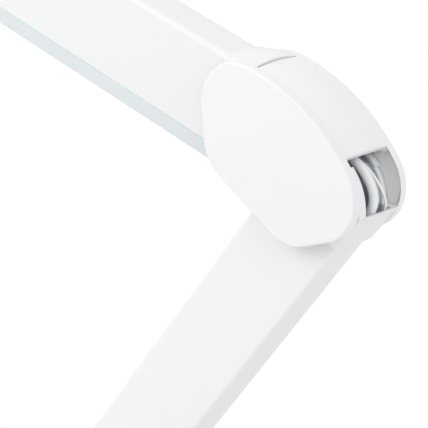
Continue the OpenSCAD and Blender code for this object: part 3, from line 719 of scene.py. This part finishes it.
def bar(x0, x1, strokes, round0=0.0, round1=0.0):
    """A section, drawn as depth and width, extruded along an arm."""
    return turned(slab(strokes, x0, x1, round0, round1, 3), 90, "Y")


def screw_cuts(x, half):
    """Clearance and countersink for the two screws at a place along an arm."""
    cuts = []
    for y in SCREW_Y:
        cuts.append(sunk(screw_hole_r, half, arm_hole_l, 32, x, y))
        cuts.append(sunk(arm_sink_r, half, arm_sink_t, 40, x, y))
    return cuts


def screw_pair(x, half):
    return [moved(cross_screw(arm_head_r, 0, arm_screw_l), x, y, -half) for y in SCREW_Y]


screw_low, screw_base = step_x + screw_in, tube_end - screw_in
tube_section = bar_strokes(half_arm, -half_w, half_w, edge_r, edge_r)
tube_hollow = bar_strokes(half_arm - wall, wall - half_w, half_w - wall, inner_r, inner_r, 4)
tube = cut(bar(step_x, tube_end, tube_section, end_edge, end_edge),
           [bar(step_x - 5, tube_end + 5, tube_hollow)]
           + screw_cuts(screw_low, half_arm) + screw_cuts(screw_base, half_arm))
piece("lower_arm_skin", tube, IN_ARM, "lower_arm", paint, "lower_arm_tube")
arm_screws = group(screw_pair(screw_low, half_arm) + screw_pair(screw_base, half_arm))
piece("arm_screws_turned", arm_screws, IN_ARM, "lower_arm", steel, "arm_screws")

# %% [markdown]
# A knuckle is one casting: two cheeks that turn about the bolt, a lip that closes the elbow's
# outer side while the joint moves, and a plug inside the arm. Cheeks with softened rims are joined
# to the lip and the plug, then the bolt's bore and the cable's channel are cut through.

# %% Lower arm's elbow knuckle
hub_r, hub_bore_r, back_cheek_r, root_t, plug_l = half_w, 9.0, 19.4, 3.0, 38
lip_r, lip_edge, lip_t, lip_gap, strap_gap, cheek_span = 25.6, 1.2, 2.2, 0.15, 1.5, 45
lip_back, lip_front, lip_swell, swell_r = lip_gap - cover_in, cheek_out - 0.9, 0.7, 24
channel_r, cable_y, cable_front = 3.2, 12.5, 2.0
plug_gap, plug_edge = 0.1, 0.8
plug_w, plug_h = half_w - wall - plug_gap, half_arm - wall - plug_gap
plug_strokes = bar_strokes(plug_h, -plug_w, plug_w, inner_r, inner_r, 4)
lip_angle = (window_angle - window_span - 1 + elbow_angle - arm_angle) % 360
cheek_to = lip_angle + cheek_span
root_depth = cheek_in + OVERLAP


def both_cheeks(strokes, z0, z1, rim):
    return [slab(strokes, z0, z1, 0.0, rim, 4), slab(strokes, -z1, -z0, rim, 0.0, 4)]


def low_strokes(cheek_r):
    return [(step_x, half_w), polar(lip_r, lip_angle), (0, 0, cheek_r, lip_angle + 0.3, cheek_to, 16),
            (0, 0, hub_r, cheek_to, 270, 40), (step_x, -half_w)]


def hub_bores():
    """Cutters for the bolt's hole and for the wider bore between the cheeks."""
    return [rod(bolt_hole_r, -hole_end, hole_end), rod(hub_bore_r, -cheek_in, cheek_in, 64)]


def channel(x, y):
    """A cutter for the cable's way through a knuckle, from x on along the arm."""
    return moved(turned(rod(channel_r, 0, 90, 40), 90, "Y"), x, y, cable_front)


front_cheek_r = reach(bolt_low, window_angle, strap_in) - strap_gap
knuckle = [slab(low_strokes(front_cheek_r), cheek_in, cheek_out, 0.0, 1.3),
           slab(low_strokes(back_cheek_r), -cheek_out, -cheek_in, 0.5, 0.0)]
lip = slab([(step_x + 1, half_w), (step_x - 1, half_w), polar(lip_r, lip_angle),
            polar(lip_r - lip_edge, lip_angle), (step_x - 1, half_w - lip_t),
            (step_x + 1, half_w - lip_t)], lip_back, lip_front)
swollen(lip, lip_swell, swell_r)
knuckle.append(cut(lip, [block(step_x, 30, -30, 40, -20, 20)]))
knuckle.append(block(step_x - root_t, step_x, -half_w, half_w - 2, -root_depth, root_depth))
knuckle.append(bar(step_x - OVERLAP, step_x + plug_l, plug_strokes, 0, plug_edge))
knuckle = combined(knuckle[0], knuckle[1:])
window_rim_r, window_rim_in, window_rim_span = 26.0, 24.9, 48
clear = cut(rod(40, cheek_in - 0.1, cover_in, 128), [rod(window_rim_in - 0.15, 0, 20, 128)])
knuckle = cut(knuckle, hub_bores() + [channel(step_x - root_t - 0.5, cable_y), clear]
              + screw_cuts(screw_low, half_arm))
piece("elbow_knuckle_casting", knuckle, IN_ARM, "lower_arm", paint, "elbow_knuckle")

# %% [markdown]
# A light rim stands beside the window. It is taken to belong to the front cover. The arm's
# knuckle is cut back for it, so that the lip passes behind the rim when the arm unfolds, and the
# rim ends just short of the strap.

# %% Window rim of the front cover
rim_to = lip_angle + window_rim_span
window_rim = slab([(0, 0, window_rim_r, lip_angle, rim_to, 32),
                   (0, 0, window_rim_in, rim_to, lip_angle - 2.2, 32)],
                  cheek_in + 0.05, cover_in, 0.45, 0.45, 3)
piece("elbow_window_rim", window_rim, IN_ARM, "elbow", moulded, "elbow_front_cover")

# %% [markdown]
# Inside the window the friction disc shows: a pack of spring steel that keeps the arm where it is
# put. It has a softened rim with a groove round it, and a shallow ring on its face. A sleeve round
# each bolt keeps the cheeks apart.

# %% Friction disc and sleeves
sleeve_r, sleeve_edge = 7.0, 0.4
disc_r, disc_t, disc_edge, disc_flat_x = 20.4, 3.6, 0.4, 3.9
disc_hole_r, groove_r, ring_z = sleeve_r + 0.05, disc_r - 0.5, disc_t - 0.25
disc = lathe([
    (disc_hole_r, 0), (disc_r - disc_edge, 0), (disc_r, disc_edge),
    (disc_r, 1.5), (groove_r, 1.7), (groove_r, 1.9), (disc_r, 2.1),
    (disc_r, disc_t - disc_edge), (disc_r - disc_edge, disc_t),
    (13.5, disc_t), (13.3, ring_z), (12.7, ring_z), (12.5, disc_t), (disc_hole_r, disc_t)], 128)
disc = cut(moved(disc, z=-cheek_in), [block(disc_flat_x, 30, -30, 30, -20, 20)])
piece("friction_disc_turned", disc, IN_ARM, "lower_arm", steel, "friction_disc")


def sleeve(half):
    inner, outer, end = bolt_hole_r + sleeve_edge, sleeve_r - sleeve_edge, half - sleeve_edge
    return lathe([(inner, -half), (outer, -half), (sleeve_r, -end), (sleeve_r, end),
                  (outer, half), (inner, half), (bolt_hole_r, end), (bolt_hole_r, -end)], 64)


piece("lower_sleeve_turned", sleeve(cheek_in), IN_ARM, "lower_arm", steel, "lower_sleeve")
piece("upper_sleeve_turned", sleeve(cheek_in), IN_HEAD, "head", steel, "upper_sleeve")

# %% [markdown]
# The base end of the arm has the same sort of casting, with round cheeks and a solid root.

# %% Base knuckle
knuckle_r, base_cheek_in, root_x = half_w - 0.5, 5.0, lower_len - 12
round_end = [(tube_end, -knuckle_r), (lower_len, 0, knuckle_r, -90, 90, 40), (tube_end, knuckle_r)]
knuckle = both_cheeks(round_end, base_cheek_in, cheek_out, 1.0)
root_depth = base_cheek_in + OVERLAP
knuckle.append(block(tube_end, root_x, -knuckle_r, knuckle_r, -root_depth, root_depth))
knuckle.append(bar(tube_end - plug_l, tube_end + OVERLAP, plug_strokes, plug_edge, 0))
knuckle = cut(combined(knuckle[0], knuckle[1:]),
              [rod(bolt_hole_r, -hole_end, hole_end, 48, lower_len),
               channel(tube_end - plug_l - 0.5, cable_y)] + screw_cuts(screw_base, half_arm))
piece("base_knuckle_casting", knuckle, IN_ARM, "lower_arm", paint, "base_knuckle")

# %% [markdown]
# The head is the same tube, open along its lower side. It starts with a slanted cut under the
# elbow, its long outer edges are rounded, and the frosted strip closes it from below. The strip
# is hollow, and two tongues on it reach up inside the tube.

# %% Head housing, frosted strip and end cap
head_len, head_w, head_edge, cap_t = 380.0, 41.0, 2.5, 3.0
strip_h, strip_r, strip_t, strip_edge, tongue_h = 7.1, 1.0, 1.8, 0.3, 4.0
low_edge, cap_edge, cap_plug_edge = 0.6, 0.8, 0.6
head_half = (head_w + strip_h) / 2
housing_low = head_half - strip_h
head_plug = half_head - wall - plug_gap
lamp_end = head_len - cap_t
cut_top, cut_low = 16.8, 8.5
cut_h = housing_low + 0.5 + head_half


def slant(y):
    """The place along the head where the slanted cut passes a height."""
    return cut_top + (cut_low - cut_top) * (y + head_half) / cut_h


def wedge(x_far, shift=0.0):
    """A cutter that fills the room between the slanted cut and a place along the head."""
    return slab([(x_far, -60), (slant(-60) + shift, -60), (slant(60) + shift, 60), (x_far, 60)],
                -40, 40)


head_section = bar_strokes(half_head, -head_half, housing_low, head_edge, low_edge)
housing = bar(0, lamp_end, head_section, 0, 0.3)
slope = Vector((1, (cut_top - cut_low) / cut_h, 0))
made = bmesh.ops.bisect_plane(housing, geom=housing.verts[:] + housing.edges[:] + housing.faces[:],
                              plane_co=(cut_top, -head_half, 0), plane_no=slope, clear_inner=True)
rim = [g for g in made["geom_cut"] if isinstance(g, bmesh.types.BMEdge)]
bmesh.ops.holes_fill(housing, edges=rim, sides=0)
rounded(housing, [e for e in rim if e.is_valid], end_edge, 3)
head_hollow = bar_strokes(half_head - wall, wall - head_half, housing_low + 6, inner_r, low_edge, 4)
screw_head = cut_top + screw_in
housing = cut(housing, [bar(-10, head_len + 10, head_hollow)] + screw_cuts(screw_head, half_head))
piece("head_housing_skin", housing, IN_HEAD, "head", paint, "head_housing")
head_screws = group(screw_pair(screw_head, half_head))
piece("head_screws_turned", head_screws, IN_HEAD, "head", steel, "head_screws")

strip_section = bar_strokes(half_head, housing_low, head_half, strip_edge, strip_r)
strip_hollow = bar_strokes(head_plug - strip_t, housing_low - 2, head_half - strip_t,
                           strip_edge, strip_r / 2, 4)
strip = cut(bar(-1, lamp_end, strip_section, strip_edge, 0),
            [bar(0.8, lamp_end - strip_t, strip_hollow)])
tongue = (cut_top + 2, lamp_end - 9, housing_low - tongue_h, housing_low + OVERLAP)
strip = combined(strip, [block(*tongue, head_plug - strip_t, head_plug),
                         block(*tongue, -head_plug, strip_t - head_plug)])
piece("frosted_strip", strip, IN_HEAD, "head", frost, "diffuser")

plug_top, board_y = 2.3 - head_half, housing_low - tongue_h - 1.6
head_plug_strokes = bar_strokes(head_plug, plug_top, board_y, inner_r, inner_r, 4)
cap_section = bar_strokes(half_head, -head_half, head_half, head_edge, strip_r)
cap_plug = bar(lamp_end - 8, lamp_end + OVERLAP, head_plug_strokes, cap_plug_edge, 0)
cap = combined(bar(lamp_end, head_len, cap_section, 0, cap_edge), [cap_plug])
piece("head_end_cap_moulding", cap, IN_HEAD, "head", paint, "head_end_cap")

# %% [markdown]
# The head's knuckle mirrors the arm's: cheeks, a round lip whose edge meets the strap's, and a
# plug. The knuckle ends in the housing's slanted cut, and only the plug passes through it.

# %% Head knuckle
head_hub, head_lip_r, head_swell, slit_w, past_cut = housing_low - 0.4, 27.8, 1.9, 0.5, 30
slit_head = slit_angle + elbow_angle - head_angle
lip_from = slit_head + math.degrees(slit_w / head_lip_r) + 360
lip_in, cheek_lip_r = head_lip_r - lip_t, head_lip_r - 0.1
strap_cheek_r = reach(bolt_up, slit_angle, strap_in) - strap_gap
lip_flat = 2.5 - head_half


def angle_at(r, y):
    """Angle at which a circle reaches a height above the arm's centre line."""
    return 360 + math.degrees(math.asin(y / r))


knuckle = both_cheeks([
    (0, 0, head_hub, 90, lip_from - cheek_span, 40),
    (0, 0, strap_cheek_r, lip_from - cheek_span, lip_from, 16),
    (0, 0, cheek_lip_r, lip_from, angle_at(cheek_lip_r, -head_half), 16),
    (past_cut, -head_half), (past_cut, head_hub)], cheek_in, cheek_out, 0.9)
lip = slab([
    (0, 0, head_lip_r, lip_from, angle_at(head_lip_r, -head_half), 16),
    (past_cut, lip_flat), (past_cut, lip_t + lip_flat),
    (0, 0, lip_in, angle_at(lip_in, lip_t - head_half), lip_from, 16)], lip_back, lip_front)
swollen(lip, head_swell, head_lip_r)
root_depth = cheek_in + OVERLAP
root = slab([(slant(-head_half) - root_t, -head_half), (past_cut, -head_half),
             (past_cut, head_hub), (slant(head_hub) - root_t, head_hub)], -root_depth, root_depth)
knuckle = cut(combined(knuckle[0], [knuckle[1], lip, root]), [wedge(80)])
plug_bar = cut(bar(0, cut_top + plug_l, head_plug_strokes, 0, plug_edge), [wedge(-40, -2.5)])
knuckle = cut(combined(knuckle, [plug_bar]), hub_bores() + [channel(-0.5, -cable_y)]
              + screw_cuts(screw_head, half_head))
piece("head_knuckle_casting", knuckle, IN_HEAD, "head", paint, "head_knuckle")

# %% [markdown]
# The cable is a round sheath that runs through the knuckles' channels and loops under the strap.
# A curve through way-points with smooth handles gives its course, drawn in two halves that meet
# in the middle of the loop. The thin wire runs beside it at the window.

# %% Cables
cable_r, wire_r, cable_from = 2.0, 0.6, 34


def in_metres(place, x, y, front):
    return place @ Vector((x, y, front))


def hose(points, radius):
    curve = bpy.data.curves.new("course", "CURVE")
    curve.dimensions = "3D"
    curve.bevel_depth, curve.bevel_resolution, curve.resolution_u = radius * MM, 5, 8
    curve.use_fill_caps = True
    spline = curve.splines.new("BEZIER")
    spline.bezier_points.add(len(points) - 1)
    for knot, point in zip(spline.bezier_points, points):
        knot.co = point
        knot.handle_left_type = knot.handle_right_type = "AUTO"
    thing = bpy.data.objects.new("course", curve)
    bpy.context.scene.collection.objects.link(thing)
    bpy.context.view_layer.update()
    mesh = thing.evaluated_get(bpy.context.evaluated_depsgraph_get()).to_mesh()
    bm = bmesh.new()
    bm.from_mesh(mesh)
    bpy.data.objects.remove(thing)
    bpy.data.curves.remove(curve)
    bmesh.ops.remove_doubles(bm, verts=bm.verts, dist=WELD_M)
    return bm


LOOP = [
    (33.8, -21), (35.2, -6.4), (38.6, -1), (41.8, 4.5), (43.0, 12), (40.0, 17.8), (34.2, 21.2),
    (26, 22.6), (14, 22), (0, 20.2), (-14, 20.5), (-26, 19), (-31.5, 15), (-36.6, 9.9), (-45.9, 6.5),
]
WIRE = [
    (24, 22.5, -0.5), (32, 22.5, -0.8), (38, 20.6, -1.6), (42, 17.6, -3.0), (44.2, 13.6, -4.6),
    (44.4, 9, -5.2), (42.4, 2, -3.2), (39.4, -5.3, -1.2),
]
loop = [in_metres(IN_ELBOW, x, y, cable_front) for x, y in LOOP]
middle = LOOP.index((0, 20.2))
first_half = [in_metres(IN_ARM, cable_from, cable_y, cable_front)] + loop[:middle + 1]
second_half = loop[middle:] + [in_metres(IN_HEAD, cable_from, -cable_y, cable_front)]
STILL = Matrix.Identity(4)
cable_a = piece("elbow_cable_lower", hose(first_half, cable_r), STILL, None, sheath, "elbow_cable")
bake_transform(cable_a)
cable_b = piece("elbow_cable_upper", hose(second_half, cable_r), STILL, None, sheath, "elbow_cable")
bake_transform(cable_b)
wire_points = [in_metres(IN_ELBOW, *point) for point in WIRE]
wire = piece("elbow_thin_wire", hose(wire_points, wire_r), STILL, None, sheath, "elbow_wire")
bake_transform(wire)

# %% [markdown]
# The base is a shallow round tray turned upside down over a cast-iron weight. Its top edge is
# rounded, the button sits in a chamfered hole at the front and the inlet in a round hole behind.
# Under the button sits a rubber dome that the button presses; it is drawn at rest and rides on the base.

# %% Base shell, power button, dome and inlet
base_r, base_h, base_wall, base_edge, post_hole_r = 100.0, 22.0, 2.5, 4.0, 8.05
boss_at, boss_r, boss_low = 72, 4.5, 13.5
button_x, button_y, button_r, button_hole_r, chamfer_h = 0.0, -70.0, 9.0, 9.3, 1.6
inlet_z, inlet_hole_r = 11.5, 4.05
ceiling, in_r = base_h - base_wall, base_r - base_wall
shell = lathe([
    (post_hole_r, ceiling), (post_hole_r, base_h),
    (base_r - base_edge, base_h - base_edge, base_edge, 90, 0, 12),
    (base_r, 1.4), (base_r - 0.4, 1.0), (in_r, 1.0), (in_r - 2, ceiling - 2, 2, 0, 90, 6)], 192)
bosses, holes = [], []
for turn in (45, 135, 225, 315):
    x, y = polar(boss_at, turn)
    bosses.append(rod(boss_r, boss_low, ceiling + OVERLAP, 48, x, y))
    holes.append(rod(screw_hole_r, 10, ceiling + 0.2, 32, x, y))
chamfer = bmesh.new()
bmesh.ops.create_cone(chamfer, cap_ends=True, segments=96, radius1=button_hole_r - chamfer_h / 2,
                      radius2=button_hole_r + chamfer_h / 2, depth=chamfer_h)
holes += [rod(button_hole_r, 5, 40, 96, button_x, button_y), moved(chamfer, button_x, button_y, base_h),
          moved(turned(rod(inlet_hole_r, 0, 40, 64), -90, "X"), 0, 80, inlet_z)]
shell = cut(combined(shell, bosses), holes)
piece("base_shell_casting", shell, IN_BASE, "base", base_paint, "base_shell")

button_top, flange_low, flange_top, flange_r, button_edge = 23.6, 17.94, 19.44, 10.8, 0.9
button = lathe([
    (0, flange_low), (flange_r, flange_low), (flange_r, flange_top), (button_r, flange_top),
    (button_r - button_edge, button_top - button_edge, button_edge, 0, 90, 6),
    (7.2, button_top - 0.08), (5.2, button_top - 0.34), (3.0, button_top - 0.46),
    (0, button_top - 0.5)], 96)
button = moved(button, button_x, button_y)
piece("power_button_moulding", button, IN_BASE, "power_button", moulded, "power_button")

dome_low, dome_top, dome_edge = 15.4, 17.9, 0.7
dome = lathe([
    (0, dome_low), (5, dome_low), (5, dome_low + 0.3),
    (3.6, dome_top - dome_edge, dome_edge, 40, 90, 5), (1.2, dome_top), (0, dome_top - 0.15)], 64)
dome = moved(dome, button_x, button_y)
dome = piece("button_dome_moulding", dome, IN_BASE, "base", rubber, "button_dome")
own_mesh(dome)

inlet = slab(bar_strokes(4.5, -5, 5, 0.8, 0.8, 4), 85.4, 97.4, 0.3, 0.3, 2)
inlet = cut(combined(inlet, [rod(3.95, 96, 99.8, 64)]), [rod(2.75, 88.5, 110, 48)])
inlet = moved(turned(inlet, -90, "X"), 0, 0, inlet_z)
piece("power_inlet_moulding", inlet, IN_BASE, "base", black, "power_inlet")

# %% [markdown]
# The turret turns on the base. A thick round foot carries two cheeks with the pivot bolt between
# them; round caps hide the bolt's head and its nut.

# %% Turret and its caps
turret_r, turret_low, turret_high, pivot_z = 28.0, 22.5, 32.5, pivot_base.z / MM
foot_edge, fork_low = 1.6, turret_high - pivot_z - 1
foot = lathe([
    (post_hole_r, turret_low), (turret_r - 0.4, turret_low), (turret_r, turret_low + 0.4),
    (turret_r - foot_edge, turret_high - foot_edge, foot_edge, 0, 90, 6),
    (post_hole_r, turret_high)], 128)
fork = both_cheeks([(-half_w, fork_low), (half_w, fork_low), (0, 0, half_w, 0, 180, 48)],
                   cover_in, half_elbow, 1.4)
fork = [moved(turned(bm, 90, "X"), z=pivot_z) for bm in fork]
hollows = [rod(14.3, 20, 24.2, 64), rod(26.3, 20, 23.06, 96),
           moved(turned(rod(bolt_hole_r, -40, 40), 90, "X"), z=pivot_z)]
turret = cut(combined(foot, fork), hollows)
piece("turret_casting", turret, IN_BASE, "turret", base_paint, "turret")
cap_z, cap_in, cap_round = half_elbow, 10.4, 1.6
cap_strokes = [(cap_in, cap_z), (cap_in + cap_round, cap_z),
               (cap_in, cap_z + 3.4, cap_round, 0, 90, 8), (0, cap_z + 5.0), (0, cap_z + 3.6),
               (cap_in, cap_z + 3.6)]
caps = [turned(lathe(cap_strokes, 96), turn, "X") for turn in (0, 180)]
piece("turret_caps_moulding", group(caps), IN_TURRET, "turret", moulded, "turret_caps")
turret_bolt = bolt(-half_elbow - bolt_head_t, half_elbow + 3.4)
piece("turret_bolt_turned", turret_bolt, IN_TURRET, "turret", steel, "turret_bolt")
piece("base_sleeve_turned", sleeve(base_cheek_in), IN_TURRET, "lower_arm", steel, "base_sleeve")

# %% [markdown]
# The floor is a large pale sheet. Close to the lamp it is a plain matt surface that takes the
# shadow; further out it glows at exactly white, as a studio's overexposed sweep does. The world
# lights the lamp from all round, and shows only where a view looks past the floor's far edge.

# %% Floor, world and lamps
floor_size, glow_from, glow_to = 12.0, 0.16, 0.40
fill_colour, fill_strength = (0.985, 0.99, 1.0, 1), 0.84
LAMPS = {
    "key": ((-0.55, -0.95, 1.25), 0.9, 6.0),
    "side": ((1.8, -0.5, 1.35), 1.2, 3.2),
}
bm = bmesh.new()
bmesh.ops.create_grid(bm, x_segments=2, y_segments=2, size=floor_size)
floor = shelf(bm, "floor")
sweep = Finish("floor_sweep", "floor", Base_Color=grey(0.82), Roughness=0.9)
distance = sweep.add("ShaderNodeVectorMath", {"operation": "LENGTH"}, {0: sweep.place})["Value"]
far = sweep.add("ShaderNodeMapRange", {"interpolation_type": "SMOOTHSTEP"},
                {"Value": distance, "From Min": glow_from, "From Max": glow_to})["Result"]
path = sweep.add("ShaderNodeLightPath", {}, {})
seen = path["Is Camera Ray"]
for ray in ("Is Glossy Ray", "Is Transmission Ray"):
    seen = sweep.add("ShaderNodeMath", {"operation": "MAXIMUM"}, {0: seen, 1: path[ray]})[0]
glow = sweep.tree.nodes.new("ShaderNodeEmission")
blend = sweep.tree.nodes.new("ShaderNodeMixShader")
sweep.tree.links.new((far * seen).socket, blend.inputs[0])
sweep.tree.links.new(sweep.shader.outputs[0], blend.inputs[1])
sweep.tree.links.new(glow.outputs[0], blend.inputs[2])
end = next(n for n in sweep.tree.nodes if n.type == "OUTPUT_MATERIAL")
sweep.tree.links.new(blend.outputs[0], end.inputs[0])
floor.data.materials.append(sweep.material)

world = bpy.data.worlds.new("studio")
bpy.context.scene.world = world
world.use_nodes = True
tree = world.node_tree
tree.nodes.clear()
paths = tree.nodes.new("ShaderNodeLightPath")
either = tree.nodes.new("ShaderNodeMath")
either.operation = "MAXIMUM"
tree.links.new(paths.outputs["Is Camera Ray"], either.inputs[0])
tree.links.new(paths.outputs["Is Transmission Ray"], either.inputs[1])
fill_light = tree.nodes.new("ShaderNodeBackground")
fill_light.inputs[0].default_value = fill_colour
fill_light.inputs[1].default_value = fill_strength
backdrop = tree.nodes.new("ShaderNodeBackground")
choose = tree.nodes.new("ShaderNodeMixShader")
tree.links.new(either.outputs[0], choose.inputs[0])
tree.links.new(fill_light.outputs[0], choose.inputs[1])
tree.links.new(backdrop.outputs[0], choose.inputs[2])
tree.links.new(choose.outputs[0], tree.nodes.new("ShaderNodeOutputWorld").inputs[0])

for name, (spot, size, power) in LAMPS.items():
    lamp = bpy.data.objects.new(name, bpy.data.lights.new(name, "AREA"))
    lamp.data.size, lamp.data.energy = size, power
    lamp.location = spot
    lamp.rotation_euler = (pivot_up - Vector(spot)).to_track_quat("-Z", "Y").to_euler()
    bpy.context.scene.collection.objects.link(lamp)
print("lamps:", len(LAMPS))
